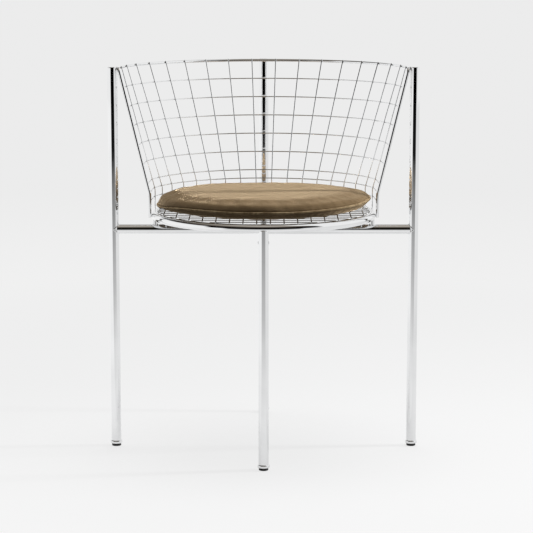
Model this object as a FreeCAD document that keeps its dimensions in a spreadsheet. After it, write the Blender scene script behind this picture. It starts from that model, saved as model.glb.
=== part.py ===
import FreeCAD, Part
import math
import os
import Sketcher
from FreeCAD import Placement, Rotation, Vector

# Wire mesh armchair: three tall tube legs and a short front one, joined by crossed bars under a
# ring. The ring carries a square floor mesh and a flaring wall of welded wires with a border rod,
# and a loose round cushion lies on the floor mesh.
# X points to the right seen from the front, -Y is the front, and Z = 0 is the floor. The origin
# lies midway between the outer edges of the front and the back glide. Positions are worked out
# from the crossing of the bars, which stands a setback in front of the origin.
# Each row is alias, size in millimetres, degrees or a count, and what it measures.
DIMENSIONS = [
    ("origin_setback", 49.0, "crossing of the bars in front of the origin"),
    ("leg_circle", 290.0, "distance of the three tall legs from the crossing"),
    ("front_leg_distance", 192.0, "distance of the front leg from the crossing"),
    ("leg_radius", 9.5, "outside radius of legs and bars"),
    ("tube_wall", 1.5, "wall of legs, bars and seat ring"),
    ("leg_height", 743.5, "top of the tall legs, caps included"),
    ("bar_height", 430.0, "axis of the crossed bars"),
    ("ring_radius", 210.5, "seat ring, to the middle of its tube"),
    ("ring_tube_radius", 8.0, "seat ring, outside radius of its tube"),
    ("ring_height", 457.5, "axis of the seat ring"),
    ("front_leg_top", 454.0, "front leg before its top is coped to the ring"),
    ("standoff_radius", 5.0, "posts between the bars and the ring"),
    ("border_radius", 3.0, "border rod of the basket"),
    ("border_bend", 8.0, "bend at the border rod's two top corners"),
    ("border_foot", 454.0, "lower ends of the border rod, beside the ring"),
    ("wire_radius", 1.2, "mesh wires"),
    ("weld_sink", 0.04, "depth that welded wires share"),
    ("floor_sink", 0.015, "depth that the floor wires share with the ring"),
    ("wire_top", 744.2, "upper ends of the upright wires"),
    ("turn_height", 500.0, "height where the flaring wall turns upright"),
    ("turn_bend", 30.0, "bend of the wall wires at that height"),
    ("wire_foot", 455.5, "lower ends of the upright wires, beside the ring"),
    ("upright_count", 18.0, "upright wires of the wall"),
    ("rim_pitch", 10.2, "degrees between uprights at the rim"),
    ("foot_pitch", 8.3, "degrees between uprights at the ring, in the back"),
    ("foot_spread", 0.0105, "growth of that pitch towards the sides"),
    ("hoop_top", 704.0, "highest hoop of the flaring wall"),
    ("hoop_pitch", 37.0, "height from hoop to hoop in the flaring wall"),
    ("hoop_count", 6.0, "hoops of the flaring wall"),
    ("band_hoop_top", 502.0, "upper hoop of the upright band"),
    ("band_hoop_pitch", 17.0, "height from hoop to hoop in the upright band"),
    ("band_hoop_count", 2.0, "hoops of the upright band"),
    ("floor_pitch", 25.4, "spacing of the floor wires"),
    ("lengthwise_count", 16.0, "floor wires that run front to back"),
    ("crosswise_count", 15.0, "floor wires that run side to side"),
    ("lengthwise_reach", 212.5, "ends of the front to back wires, on the ring"),
    ("cap_thickness", 1.6, "leg cap, disc"),
    ("cap_edge", 0.8, "leg cap, chamfered edge"),
    ("plug_length", 9.0, "leg cap and glide, spigot in the tube"),
    ("glide_radius", 11.5, "glide, flange"),
    ("glide_height", 5.5, "glide, flange"),
    ("glide_edge", 2.0, "glide, chamfered edge"),
    ("pad_radius", 9.0, "rubber pad"),
    ("pad_height", 5.5, "rubber pad"),
    ("pad_edge", 1.2, "rubber pad, chamfered lower edge"),
    ("cushion_bottom", 468.2, "underside of the cushion"),
    ("cushion_radius", 209.0, "cushion, out to its seam"),
    ("seam_height", 17.5, "seam above the underside"),
    ("flat_radius", 172.0, "flat underside"),
    ("shoulder_height", 33.0, "shoulder above the underside, where the crown begins"),
    ("crown_height", 40.6, "middle of the crown above the underside"),
    ("side_curve", 50.0, "curve of the sides, from the seam up and down"),
    ("piping_radius", 2.2, "piping sewn into the seam"),
]
# Wires and the rolled ring are drawn with a few flats, their thickness apart.
WIRE_FLATS = 6
RING_FLATS = 8
RING_BORE_FLATS = 4
# The cushion's curves are drawn with a few straight steps.
SIDE_STEPS = 2
CROWN_STEPS = 3

UP = Vector(0, 0, 1)
BACKWARDS = Vector(0, 1, 0)

doc = FreeCAD.newDocument("wire_mesh_chair")
sheet = doc.addObject("Spreadsheet::Sheet", "sizes")
for row, (alias, number, meaning) in enumerate(DIMENSIONS, start=1):
    sheet.set(f"A{row}", meaning)
    sheet.set(f"B{row}", str(number))
    sheet.setAlias(f"B{row}", alias)
doc.recompute()

subparts = []


def size(formula):
    """Value of a formula of the sheet, such as sizes.leg_radius * 2."""
    return float(sheet.evalExpression(formula))


def bind(item, **formulas):
    """Bind properties of an object to formulas of the sheet. Two underscores stand for a dot."""
    for name, formula in formulas.items():
        item.setExpression(name.replace("__", "."), formula)
    return item


def place(item, x="0", y="0", z="0", turn=Rotation()):
    """Turn an object about its own origin and bind its distances from the crossing of the bars."""
    item.Placement = Placement(Vector(), turn)
    for axis, formula in zip("xyz", (x, f"{y} - sizes.origin_setback", z)):
        item.setExpression(f"Placement.Base.{axis}", f"({formula}) * 1 mm")
    return item


def subpart(item, name):
    """Count an object as a piece of the chair, exported under this name."""
    item.Label = name
    subparts.append(item)
    return item


def cylinder(name, radius, height):
    item = doc.addObject("Part::Cylinder", name)
    return bind(item, Radius=radius, Height=height)


def cut(name, base, tool):
    item = doc.addObject("Part::Cut", name)
    item.Base = base
    item.Tool = tool
    return item


def origin_plane(body, role):
    return next(plane for plane in body.Origin.OriginFeatures if plane.Role == role)


def new_sketch(body, name, role):
    sketch = body.newObject("Sketcher::SketchObject", name)
    sketch.AttachmentSupport = [(origin_plane(body, role), "")]
    sketch.MapMode = "FlatFace"
    return sketch


def circle_of(sketch, name, radius):
    """A circle about the sketch's origin, its radius bound to the sheet."""
    circle = sketch.addGeometry(Part.Circle(Vector(), UP, size(radius)))
    sketch.addConstraint(Sketcher.Constraint("Coincident", circle, 3, -1, 1))
    index = sketch.addConstraint(Sketcher.Constraint("Radius", circle, size(radius)))
    sketch.renameConstraint(index, name)
    sketch.setExpression(f"Constraints.{name}", radius)


def group(name, items):
    """Equal pieces that share one node, each a solid of its own."""
    item = doc.addObject("Part::Compound", name)
    item.Links = items
    return subpart(item, name)


def tube_body(name, length):
    """A straight tube that stands on its own origin."""
    body = doc.addObject("PartDesign::Body", name)
    ring = new_sketch(body, f"{name}_section", "XY_Plane")
    circle_of(ring, "outside", "sizes.leg_radius")
    circle_of(ring, "inside", "sizes.leg_radius - sizes.tube_wall")
    pad = body.newObject("PartDesign::Pad", f"{name}_length")
    pad.Profile = ring
    pad.setExpression("Length", length)
    return body


def pin_down(sketch, edge, label, across, height):
    """Hold the start of an edge at bound distances from the sketch's origin."""
    for kind, axis, formula in (("DistanceX", -2, across), ("DistanceY", -1, height)):
        if formula == "0":
            sketch.addConstraint(Sketcher.Constraint("PointOnObject", edge, 1, axis))
            continue
        index = sketch.addConstraint(
            Sketcher.Constraint(kind, -1, 1, edge, 1, size(formula)))
        sketch.renameConstraint(index, f"{label}_{kind}")
        sketch.setExpression(f"Constraints.{label}_{kind}", formula)


def turned_body(name, corners):
    """Revolve a closed outline about Z. Each corner is its radius and its height."""
    body = doc.addObject("PartDesign::Body", name)
    sketch = new_sketch(body, f"{name}_outline", "XZ_Plane")
    points = [Vector(size(across), size(height), 0) for across, height in corners]
    for start, end in zip(points, points[1:] + points[:1]):
        sketch.addGeometry(Part.LineSegment(start, end))
    for index, (across, height) in enumerate(corners):
        following = (index + 1) % len(corners)
        sketch.addConstraint(Sketcher.Constraint("Coincident", index, 2, following, 1))
        pin_down(sketch, index, f"corner_{index}", across, height)
    turned = body.newObject("PartDesign::Revolution", f"{name}_turned")
    turned.Profile = sketch
    turned.ReferenceAxis = (sketch, ["V_Axis"])
    turned.Angle = 360
    return body


def round_outline(across, height, radius, flats):
    """Corners of a round section drawn with flats, for a ring turned from it."""
    corners = []
    for number in range(flats):
        angle = f"(({number} + 0.5) * 360 deg / {flats})"
        corner = f"({radius}) / cos(180 deg / {flats})"
        corners.append((f"{across} + {corner} * cos({angle})",
                        f"{height} + {corner} * sin({angle})"))
    return corners


# Legs, bars and posts
RING_CENTRE = "(sizes.ring_radius - sizes.front_leg_distance)"
FOOT_HEIGHT = "(sizes.glide_height + sizes.pad_height)"
TALL_LEGS = {
    "left": ("-sizes.leg_circle", "0"),
    "right": ("sizes.leg_circle", "0"),
    "back": ("0", "sizes.leg_circle"),
}
LEGS = dict(TALL_LEGS, front=("0", "-sizes.front_leg_distance"))


def make_ring():
    """The seat ring's full outside, which the pieces that meet it are coped against."""
    outline = round_outline("sizes.ring_radius", "sizes.ring_tube_radius",
                            "sizes.ring_tube_radius", RING_FLATS)
    ring = turned_body("seat_ring_outside", outline)
    return place(ring, "0", RING_CENTRE, "sizes.ring_height - sizes.ring_tube_radius")


def hollow_ring(outside):
    inside = f"(sizes.ring_tube_radius - sizes.tube_wall) * cos(180 deg / {RING_BORE_FLATS})"
    outline = round_outline("sizes.ring_radius", "sizes.ring_tube_radius", inside,
                            RING_BORE_FLATS)
    bore = turned_body("seat_ring_bore", outline)
    place(bore, "0", RING_CENTRE, "sizes.ring_height - sizes.ring_tube_radius")
    subpart(cut("seat_ring", outside, bore), "seat_ring")


def make_legs(ring):
    """Upright tubes. The front one stops under the ring and is coped to it."""
    for side, (x, y) in TALL_LEGS.items():
        length = f"sizes.leg_height - sizes.cap_thickness - {FOOT_HEIGHT}"
        leg = place(tube_body(f"{side}_leg", length), x, y, FOOT_HEIGHT)
        subpart(leg, f"{side}_leg")
    length = f"sizes.front_leg_top - {FOOT_HEIGHT}"
    blank = place(tube_body("front_leg_blank", length), *LEGS["front"], FOOT_HEIGHT)
    subpart(cut("front_leg", blank, ring), "front_leg")


def solid_leg(side):
    """The full outside of a leg, to cope a bar against."""
    tool = cylinder(f"{side}_leg_outside", "sizes.leg_radius", "sizes.leg_height")
    return place(tool, *LEGS[side])


def bar_blank(name, start, turn, length):
    outside = cylinder(f"{name}_outside", "sizes.leg_radius", length)
    bore = cylinder(f"{name}_bore", "sizes.leg_radius - sizes.tube_wall", length)
    for item in (outside, bore):
        place(item, *start, "sizes.bar_height", turn)
    return outside, cut(f"{name}_tube", outside, bore)


def coped(name, blank, tools):
    item = blank
    for index, tool in enumerate(tools, start=1):
        item = cut(f"{name}_cope_{index}", item, tool)
    return item


def make_bars():
    """One bar from side to side, and one in two halves from front to back that meets it."""
    side_solid, side_tube = bar_blank(
        "side_bar", ("-sizes.leg_circle", "0"), Rotation(BACKWARDS, 90), "sizes.leg_circle * 2")
    side_bar = coped("side_bar", side_tube, [solid_leg("left"), solid_leg("right")])
    subpart(side_bar, "side_bar")
    towards_back = Rotation(Vector(1, 0, 0), -90)
    front_solid, front_tube = bar_blank(
        "front_bar", LEGS["front"], towards_back, "sizes.front_leg_distance")
    subpart(coped("front_bar", front_tube, [solid_leg("front"), side_solid]), "front_bar")
    back_solid, back_tube = bar_blank("back_bar", ("0", "0"), towards_back, "sizes.leg_circle")
    subpart(coped("back_bar", back_tube, [solid_leg("back"), side_solid]), "back_bar")
    return side_solid, back_solid


def make_standoffs(ring, side_solid, back_solid):
    """Short posts where the ring passes over the bars."""
    across = f"sqrt(sizes.ring_radius ^ 2 - {RING_CENTRE} ^ 2)"
    places = {
        "left": (f"-{across}", "0", side_solid),
        "right": (across, "0", side_solid),
        "back": ("0", f"sizes.ring_radius + {RING_CENTRE}", back_solid),
    }
    posts = []
    for side, (x, y, bar) in places.items():
        name = f"{side}_standoff"
        post = cylinder(f"{name}_blank", "sizes.standoff_radius",
                        "sizes.ring_height - sizes.bar_height")
        place(post, x, y, "sizes.bar_height")
        posts.append(coped(name, post, [bar, ring]))
    group("ring_standoffs", posts)


def make_ends():
    """Caps on the tall legs, and a chromed glide with a rubber pad under every leg."""
    bore = "sizes.leg_radius - sizes.tube_wall"
    cap_corners = [
        ("0", "-sizes.plug_length"),
        (bore, "-sizes.plug_length"),
        (bore, "0"),
        ("sizes.leg_radius", "0"),
        ("sizes.leg_radius", "sizes.cap_thickness - sizes.cap_edge"),
        ("sizes.leg_radius - sizes.cap_edge", "sizes.cap_thickness"),
        ("0", "sizes.cap_thickness"),
    ]
    glide_corners = [
        ("0", "0"),
        ("sizes.glide_radius", "0"),
        ("sizes.glide_radius", "sizes.glide_height - sizes.glide_edge"),
        ("sizes.glide_radius - sizes.glide_edge", "sizes.glide_height"),
        (bore, "sizes.glide_height"),
        (bore, "sizes.glide_height + sizes.plug_length"),
        ("0", "sizes.glide_height + sizes.plug_length"),
    ]
    pad_corners = [
        ("0", "0"),
        ("sizes.pad_radius - sizes.pad_edge", "0"),
        ("sizes.pad_radius", "sizes.pad_edge"),
        ("sizes.pad_radius", "sizes.pad_height"),
        ("0", "sizes.pad_height"),
    ]
    sets = {
        "leg_caps": (cap_corners, TALL_LEGS, "sizes.leg_height - sizes.cap_thickness"),
        "leg_glides": (glide_corners, LEGS, "sizes.pad_height"),
        "foot_pads": (pad_corners, LEGS, "0"),
    }
    for name, (corners, legs, height) in sets.items():
        group(name, [place(turned_body(f"{side}_{name}", corners), x, y, height)
                     for side, (x, y) in legs.items()])


# The wall of the basket
def wall_centre(height):
    """Where the wall's circle is centred, front to back, at a height."""
    rise = max(0.0, height - size("sizes.turn_height"))
    share = rise / (rim_height() - size("sizes.turn_height"))
    return (1 - share) * size(RING_CENTRE)


def wall_radius(height):
    """Radius of the circle through the upright wires at a height."""
    low = size("sizes.ring_radius + sizes.ring_tube_radius + sizes.wire_radius - sizes.weld_sink")
    high = rim_radius() - size("sizes.border_radius + sizes.wire_radius - sizes.weld_sink")
    rise = max(0.0, height - size("sizes.turn_height"))
    return low + (high - low) * rise / (rim_height() - size("sizes.turn_height"))


def rim_height():
    return size("sizes.leg_height - sizes.border_radius")


def rim_radius():
    """The border rod touches the inner side of the three tall legs."""
    return size("sizes.leg_circle - sizes.leg_radius - sizes.border_radius")


def upright_point(step, height, outwards=0.0):
    """A point on an upright wire. Steps count from the middle of the back, to the right."""
    foot = size("sizes.turn_height")
    share = max(0.0, height - foot) / (rim_height() - foot)
    foot_angle = size("sizes.foot_pitch") * step + size("sizes.foot_spread") * step ** 3
    low = wall_circle_point(foot_angle, foot, outwards)
    high = wall_circle_point(size("sizes.rim_pitch") * step, rim_height(), outwards)
    point = low + (high - low) * share
    point.z = height
    return point


def wall_circle_point(angle, height, outwards):
    reach = wall_radius(height) + outwards
    turn = math.radians(angle)
    return Vector(reach * math.sin(turn), wall_centre(height) + reach * math.cos(turn), height)


def flat_sided(centre, axis, facing, radius, flats):
    """Outline of a wire across its axis, with a flat turned to one side."""
    corner = radius / math.cos(math.pi / flats)
    side = axis.cross(facing).normalize()
    front = side.cross(axis).normalize()
    points = []
    for index in range(flats):
        turn = 2 * math.pi * (index + 0.5) / flats
        points.append(centre + front * (corner * math.cos(turn)) + side * (corner * math.sin(turn)))
    return Part.makePolygon(points + points[:1])


def bent_path(points, radii):
    """Straight runs through the points, with a tangent arc of the given radius at each bend."""
    edges = []
    start = points[0]
    for before, corner, after, radius in zip(points, points[1:], points[2:], radii):
        inwards = (before - corner).normalize()
        outwards = (after - corner).normalize()
        half = inwards.getAngle(outwards) / 2
        reach = radius / math.tan(half)
        middle = corner + (inwards + outwards).normalize() * (radius / math.sin(half) - radius)
        first = corner + inwards * reach
        last = corner + outwards * reach
        edges.append(Part.LineSegment(start, first).toShape())
        edges.append(Part.Arc(first, middle, last).toShape())
        start = last
    edges.append(Part.LineSegment(start, points[-1]).toShape())
    return edges


def swept(name, path, section):
    """A solid of one section along a path, mitred at its corners, as a piece of its own."""
    item = doc.addObject("Part::Feature", name)
    item.Shape = path.makePipeShell([section], True, False, 1)
    return subpart(place(item), name)


def make_uprights():
    """Wires that stand inside the border rod and outside the seat ring."""
    count = round(size("sizes.upright_count"))
    names = [f"left_upright_{number}" for number in range(count // 2, 0, -1)]
    names += [f"right_upright_{number}" for number in range(1, count // 2 + 1)]
    for index, name in enumerate(names):
        step = index - (count - 1) / 2
        top = upright_point(step, size("sizes.wire_top"))
        turn = upright_point(step, size("sizes.turn_height"))
        foot = upright_point(step, size("sizes.wire_foot"))
        facing = Vector(foot.x, foot.y - wall_centre(foot.z), 0)
        section = flat_sided(foot, UP, facing, size("sizes.wire_radius"), WIRE_FLATS)
        edges = bent_path([foot, turn, top], [size("sizes.turn_bend")])
        swept(name, Part.Wire(edges), section)


def border_corners():
    """Middle of the border rod at its right foot, its turn beside the seat and its top corner."""
    plane = -size("sizes.border_bend")
    beside_ring = size("sizes.ring_radius + sizes.ring_tube_radius + sizes.border_radius"
                       " - sizes.weld_sink")
    foot_x = math.sqrt(beside_ring ** 2 - (plane - size(RING_CENTRE)) ** 2)
    return (Vector(foot_x, plane, size("sizes.border_foot")),
            Vector(foot_x, plane, size("sizes.turn_height")),
            Vector(rim_radius(), plane, rim_height()))


def border_at(height):
    """Middle of the border rod's right side at a height."""
    foot, turn, corner = border_corners()
    share = max(0.0, height - turn.z) / (corner.z - turn.z)
    return Vector(turn.x + (corner.x - turn.x) * share, turn.y, height)


def mirrored(point):
    return Vector(-point.x, point.y, point.z)


def make_border():
    """One rod: up the left front edge, round the rim and down the right front edge."""
    foot, turn, corner = border_corners()
    rim_start = Vector(corner.x, 0, corner.z)
    bends = [size("sizes.turn_bend"), size("sizes.border_bend")]
    right = bent_path([foot, turn, corner, rim_start + BACKWARDS], bends)[:-1]
    rim = Part.Arc(right[-1].Vertexes[-1].Point,
                   Vector(0, rim_radius(), corner.z),
                   mirrored(right[-1].Vertexes[-1].Point)).toShape()
    left = bent_path([mirrored(point) for point in (foot, turn, corner, rim_start + BACKWARDS)],
                     bends)[:-1]
    section = flat_sided(foot, UP, Vector(1, 0, 0), size("sizes.border_radius"), WIRE_FLATS)
    swept("border_rod", Part.Wire(right + [rim] + left[::-1]), section)


def make_hoop(name, height):
    """A wire round the outside of the uprights, from front edge to front edge."""
    reach = size("(sizes.wire_radius - sizes.weld_sink) * 2")
    last = round(size("sizes.upright_count")) - 1
    wall = [upright_point(half_step / 2, height, reach) for half_step in range(-last, last + 1)]
    end = border_at(height) + BACKWARDS * (size("sizes.border_radius") - size("sizes.weld_sink"))
    points = [mirrored(end), *wall, end]
    section = flat_sided(points[0], points[1] - points[0], UP, size("sizes.wire_radius"),
                         WIRE_FLATS)
    swept(name, Part.makePolygon(points), section)


def make_hoops():
    for number in range(round(size("sizes.hoop_count"))):
        make_hoop(f"hoop_{number + 1}", size(f"sizes.hoop_top - sizes.hoop_pitch * {number}"))
    for number in range(round(size("sizes.band_hoop_count"))):
        height = size(f"sizes.band_hoop_top - sizes.band_hoop_pitch * {number}")
        make_hoop(f"band_hoop_{number + 1}", height)


# The floor of the basket
def floor_wires(name, count, turn, reach, height, lengthwise):
    """Parallel straight wires that span the ring, a flat of each facing down."""
    wires = []
    for number in range(round(size(count))):
        offset = f"(({number} - ({count} - 1) / 2) * sizes.floor_pitch)"
        half = f"sqrt({reach} ^ 2 - (abs({offset}) + sizes.wire_radius) ^ 2)"
        wire = doc.addObject("Part::Prism", f"{name}_{number + 1}")
        wire.Polygon = WIRE_FLATS
        bind(wire,
             Circumradius=f"sizes.wire_radius / cos(180 deg / {WIRE_FLATS})",
             Height=f"2 * {half}")
        if lengthwise:
            place(wire, offset, f"{RING_CENTRE} - {half}", height, turn)
        else:
            place(wire, f"-{half}", f"{RING_CENTRE} + {offset}", height, turn)
        wires.append(wire)
    return group(name, wires)


def make_floor():
    """Front to back wires lie on the ring, and side to side wires butt against its inner flank."""
    upper = ("(sizes.ring_height + sizes.ring_tube_radius + sizes.wire_radius"
             " - sizes.floor_sink)")
    lower = f"({upper} - 2 * sizes.wire_radius + sizes.weld_sink)"
    floor_wires("lengthwise_floor_wires", "sizes.lengthwise_count",
                Rotation(Vector(1, 0, 0), -90), "sizes.lengthwise_reach", upper, True)
    ring_corner = f"(sizes.ring_tube_radius / cos(180 deg / {RING_FLATS}))"
    underside = f"({lower} - sizes.wire_radius - sizes.ring_height)"
    flank = f"(sizes.ring_radius - sqrt({ring_corner} ^ 2 - {underside} ^ 2))"
    turn = Rotation(BACKWARDS, 90) * Rotation(UP, 180 / WIRE_FLATS)
    floor_wires("crosswise_floor_wires", "sizes.crosswise_count", turn, flank, lower, False)


# The cushion
def side_places(rising):
    """Places on the curved side, from the flat underside to the seam, or down from the crown."""
    lean = "asin((sizes.cushion_radius - sizes.flat_radius) / sizes.side_curve)"
    places = []
    for number in range(1, SIDE_STEPS):
        angle = f"({number} / {SIDE_STEPS} * {lean})"
        drop = f"sizes.side_curve * (1 - cos({angle}))"
        height = drop if rising else f"sizes.shoulder_height - {drop}"
        places.append((f"sizes.flat_radius + sizes.side_curve * sin({angle})", height))
    return places


def crown_places():
    """Places on the crown, from the shoulder to the middle."""
    places = []
    for number in range(CROWN_STEPS, 0, -1):
        share = f"({number} / {CROWN_STEPS})"
        height = (f"sizes.crown_height"
                  f" - (sizes.crown_height - sizes.shoulder_height) * {share} ^ 2")
        places.append((f"sizes.flat_radius * {share}", height))
    return places


def make_cushion():
    """A round pad with a flat underside, drawn in to a seam, and piping seated in that seam."""
    piping = round_outline("sizes.cushion_radius", "sizes.seam_height", "sizes.piping_radius",
                           WIRE_FLATS)
    seam = piping[1:-1][::-1]
    crown = crown_places()
    outline = [("0", "0"), ("sizes.flat_radius", "0"), *side_places(True), *seam,
               *side_places(False)[::-1], *crown, ("0", crown[-1][1])]
    for name, corners in (("seat_cushion", outline), ("cushion_piping", piping)):
        piece = place(turned_body(name, corners), "0", RING_CENTRE, "sizes.cushion_bottom")
        subpart(piece, name)


def check_document():
    """Stop if any object failed, or a piece is missing, open or inside out."""
    doc.recompute()
    failed = [item.Name for item in doc.Objects
              if any(word in item.State for word in ("Invalid", "Error"))]
    if failed:
        raise RuntimeError(f"failed objects: {failed}")
    for item in subparts:
        shape = item.Shape
        if shape.isNull() or not shape.isValid() or not shape.Solids:
            raise RuntimeError(f"bad shape: {item.Label}")
        if any(solid.Volume <= 0 for solid in shape.Solids):
            raise RuntimeError(f"no volume: {item.Label}")


ring_solid = make_ring()
hollow_ring(ring_solid)
make_legs(ring_solid)
side_bar_solid, back_bar_solid = make_bars()
make_standoffs(ring_solid, side_bar_solid, back_bar_solid)
make_ends()
make_border()
make_uprights()
make_hoops()
make_floor()
make_cushion()
check_document()

os.makedirs("parts", exist_ok=True)
for piece in subparts:
    piece.Shape.exportStep(f"parts/{piece.Label}.step")
    print(f"{piece.Label}: {len(piece.Shape.Solids)} solids, {piece.Shape.Volume / 1000:.2f} cm3")
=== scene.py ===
import math

import bmesh
import bpy
from bpy.props import FloatProperty, FloatVectorProperty, IntProperty, PointerProperty
from mathutils import Matrix, Quaternion, Vector, noise
from mathutils.bvhtree import BVHTree


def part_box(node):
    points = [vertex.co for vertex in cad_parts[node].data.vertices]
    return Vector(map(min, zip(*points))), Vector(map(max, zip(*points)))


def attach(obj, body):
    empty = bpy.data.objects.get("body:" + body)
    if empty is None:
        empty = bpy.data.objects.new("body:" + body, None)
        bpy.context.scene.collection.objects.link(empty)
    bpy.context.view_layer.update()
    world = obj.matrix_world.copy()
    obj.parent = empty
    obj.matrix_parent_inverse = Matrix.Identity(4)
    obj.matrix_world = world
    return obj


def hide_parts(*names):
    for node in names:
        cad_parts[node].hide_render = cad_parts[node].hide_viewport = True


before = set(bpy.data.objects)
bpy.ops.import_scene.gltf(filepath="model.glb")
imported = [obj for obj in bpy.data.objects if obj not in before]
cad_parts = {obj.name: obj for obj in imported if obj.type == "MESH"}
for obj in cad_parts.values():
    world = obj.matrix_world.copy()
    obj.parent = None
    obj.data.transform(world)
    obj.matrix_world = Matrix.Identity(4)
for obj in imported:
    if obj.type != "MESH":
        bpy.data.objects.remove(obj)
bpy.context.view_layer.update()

bl_info = {
    "name": "Wire mesh chair",
    "version": (1, 0, 0),
    "blender": (4, 5, 0),
    "location": "3D View > Sidebar > Chair",
    "description": "Builds a wire basket chair on chromed tube legs with a loose round cushion",
    "category": "Object",
}

UP = Vector((0, 0, 1))
BACK = Vector((0, 1, 0))
RIGHT = Vector((1, 0, 0))


# Places taken from the frame
def middle(node):
    low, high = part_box(node)
    return (low + high) / 2


CROSSING = middle("side_bar")
RING_MIDDLE = middle("seat_ring")
RING_PLACE = RING_MIDDLE.xy.to_3d()
LEG_PLACES = {side: middle(f"{side}_leg").xy.to_3d() for side in ("left", "right", "back", "front")}
# The way inwards from each tall leg
TALL_LEGS = {"left": RIGHT, "right": -RIGHT, "back": -BACK}
LEG_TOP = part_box("leg_caps")[1].z
LEG_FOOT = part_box("left_leg")[0].z
CUSHION_MIDDLE = Vector((*RING_MIDDLE.xy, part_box("seat_cushion")[0].z))


# Sizes and colours that a user would change
def length(name, description, default, low, high):
    return FloatProperty(name=name, description=description, default=default, min=low, max=high,
                         unit="LENGTH", precision=4)


def colour(name, description, default):
    return FloatVectorProperty(name=name, description=description, default=default, size=3,
                               min=0, max=1, subtype="COLOR")


class ChairSizes(bpy.types.PropertyGroup):
    """Sizes of the tubes, the wires and the cushion"""

    leg_radius: length(
        "Leg radius", "Outside radius of legs and bars", 0.0095, 0.004, 0.02)
    tube_wall: length(
        "Tube wall", "Wall thickness of legs and bars", 0.0015, 0.0008, 0.003)
    ring_tube_radius: length(
        "Ring tube radius", "Radius of the tube that the seat ring is rolled from",
        0.008, 0.004, 0.015)
    ring_radius: length(
        "Ring radius", "Seat ring, out to the middle of its tube", 0.2105, 0.15, 0.25)
    border_radius: length(
        "Border rod radius", "Radius of the rod round the basket's edge", 0.003, 0.002, 0.006)
    wire_radius: length(
        "Wire radius", "Radius of the mesh wires", 0.0012, 0.0008, 0.002)
    floor_pitch: length(
        "Floor pitch", "Spacing of the wires of the floor mesh", 0.0254, 0.015, 0.05)
    cushion_radius: length(
        "Cushion radius", "Cushion, out to its seam", 0.2087, 0.15, 0.212)
    piping_radius: length(
        "Piping radius", "Radius of the cord in the cushion's seam", 0.0021, 0.001, 0.004)
    round_sides: IntProperty(
        name="Tube facets", description="Facets round a tube", default=40, min=12, max=96)
    wire_sides: IntProperty(
        name="Wire facets", description="Facets round a wire", default=12, min=6, max=24)


class ChairColours(bpy.types.PropertyGroup):
    """Colours of the finishes and the studio"""

    chrome: colour("Chrome", "Chromed steel", (0.875, 0.88, 0.885))
    rubber: colour("Rubber", "Foot pads", (0.022, 0.022, 0.023))
    velvet: colour("Velvet", "Pile of the cushion", (0.21, 0.143, 0.076))
    velvet_shade: colour("Velvet shade", "Pile where it is brushed away", (0.165, 0.11, 0.056))
    # Lighter than the velvet: a painted highlight along the raised cord of the seam
    piping_painted_highlight: colour("Piping", "Cloth over the cord of the seam", (0.46, 0.345, 0.2))
    floor: colour("Floor", "Studio floor", (0.70, 0.70, 0.70))
    floor_glow: colour("Floor glow", "Level of the studio floor in front", (0.962, 0.962, 0.962))
    backdrop: colour("Backdrop", "Studio background", (0.838, 0.838, 0.838))


def sizes():
    return bpy.context.scene.chair_sizes


def colours():
    return bpy.context.scene.chair_colours


def scaled(tint, share, lift=0.0):
    return tuple(channel * share + lift for channel in tint)


# Node helpers
def set_inputs(tree, node, inputs):
    """Link a node's inputs, by name or number, or set them to a number, a triple or a colour."""
    for name, value in inputs.items():
        socket = node.inputs[name]
        if isinstance(value, bpy.types.NodeSocket):
            tree.links.new(value, socket)
        else:
            socket.default_value = (*value, 1) if socket.type == "RGBA" else value


def add_node(tree, kind, inputs=None, **settings):
    node = tree.nodes.new(kind)
    for name, value in settings.items():
        setattr(node, name, value)
    set_inputs(tree, node, inputs or {})
    return node


def object_place(tree):
    return add_node(tree, "ShaderNodeTexCoord").outputs["Object"]


def add_noise(tree, vector, scale, detail, distortion=0.0):
    inputs = {"Vector": vector, "Scale": scale, "Detail": detail, "Distortion": distortion}
    return add_node(tree, "ShaderNodeTexNoise", inputs).outputs["Fac"]


def add_range(tree, value, low, high, new_low=0.0, new_high=1.0):
    return add_node(tree, "ShaderNodeMapRange", {
        "Value": value, "From Min": low, "From Max": high, "To Min": new_low,
        "To Max": new_high}).outputs["Result"]


def add_math(tree, operation, first, second=0.0):
    node = add_node(tree, "ShaderNodeMath", {0: first, 1: second}, operation=operation)
    return node.outputs["Value"]


def add_colour_mix(tree, share, first, second):
    """Mix two colours, which are inputs 6 and 7 and output 2 of the node."""
    inputs = {0: share, 6: first, 7: second}
    return add_node(tree, "ShaderNodeMix", inputs, data_type="RGBA").outputs[2]


def add_bump(tree, height, strength, distance, before=None):
    inputs = {"Height": height, "Strength": strength, "Distance": distance}
    if before is not None:
        inputs["Normal"] = before
    return add_node(tree, "ShaderNodeBump", inputs).outputs["Normal"]


def mix_shaders(tree, share, first, second):
    return add_node(tree, "ShaderNodeMixShader", {0: share, 1: first, 2: second}).outputs[0]


def look_by_ray(tree, light, mirror, seen):
    """One shader for light that bounces, one for mirror images and one for the camera."""
    rays = add_node(tree, "ShaderNodeLightPath").outputs
    unseen = mix_shaders(tree, rays["Is Glossy Ray"], light, mirror)
    return mix_shaders(tree, rays["Is Camera Ray"], unseen, seen)


def new_group(name, inputs, outputs):
    """An empty node group with float inputs and outputs, ready to be filled."""
    group = bpy.data.node_groups.new(name, "ShaderNodeTree")
    for label, value in inputs.items():
        socket = group.interface.new_socket(label, in_out="INPUT", socket_type="NodeSocketFloat")
        socket.default_value = value
    for label in outputs:
        group.interface.new_socket(label, in_out="OUTPUT", socket_type="NodeSocketFloat")
    given = add_node(group, "NodeGroupInput").outputs
    return group, given, add_node(group, "NodeGroupOutput")


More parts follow.
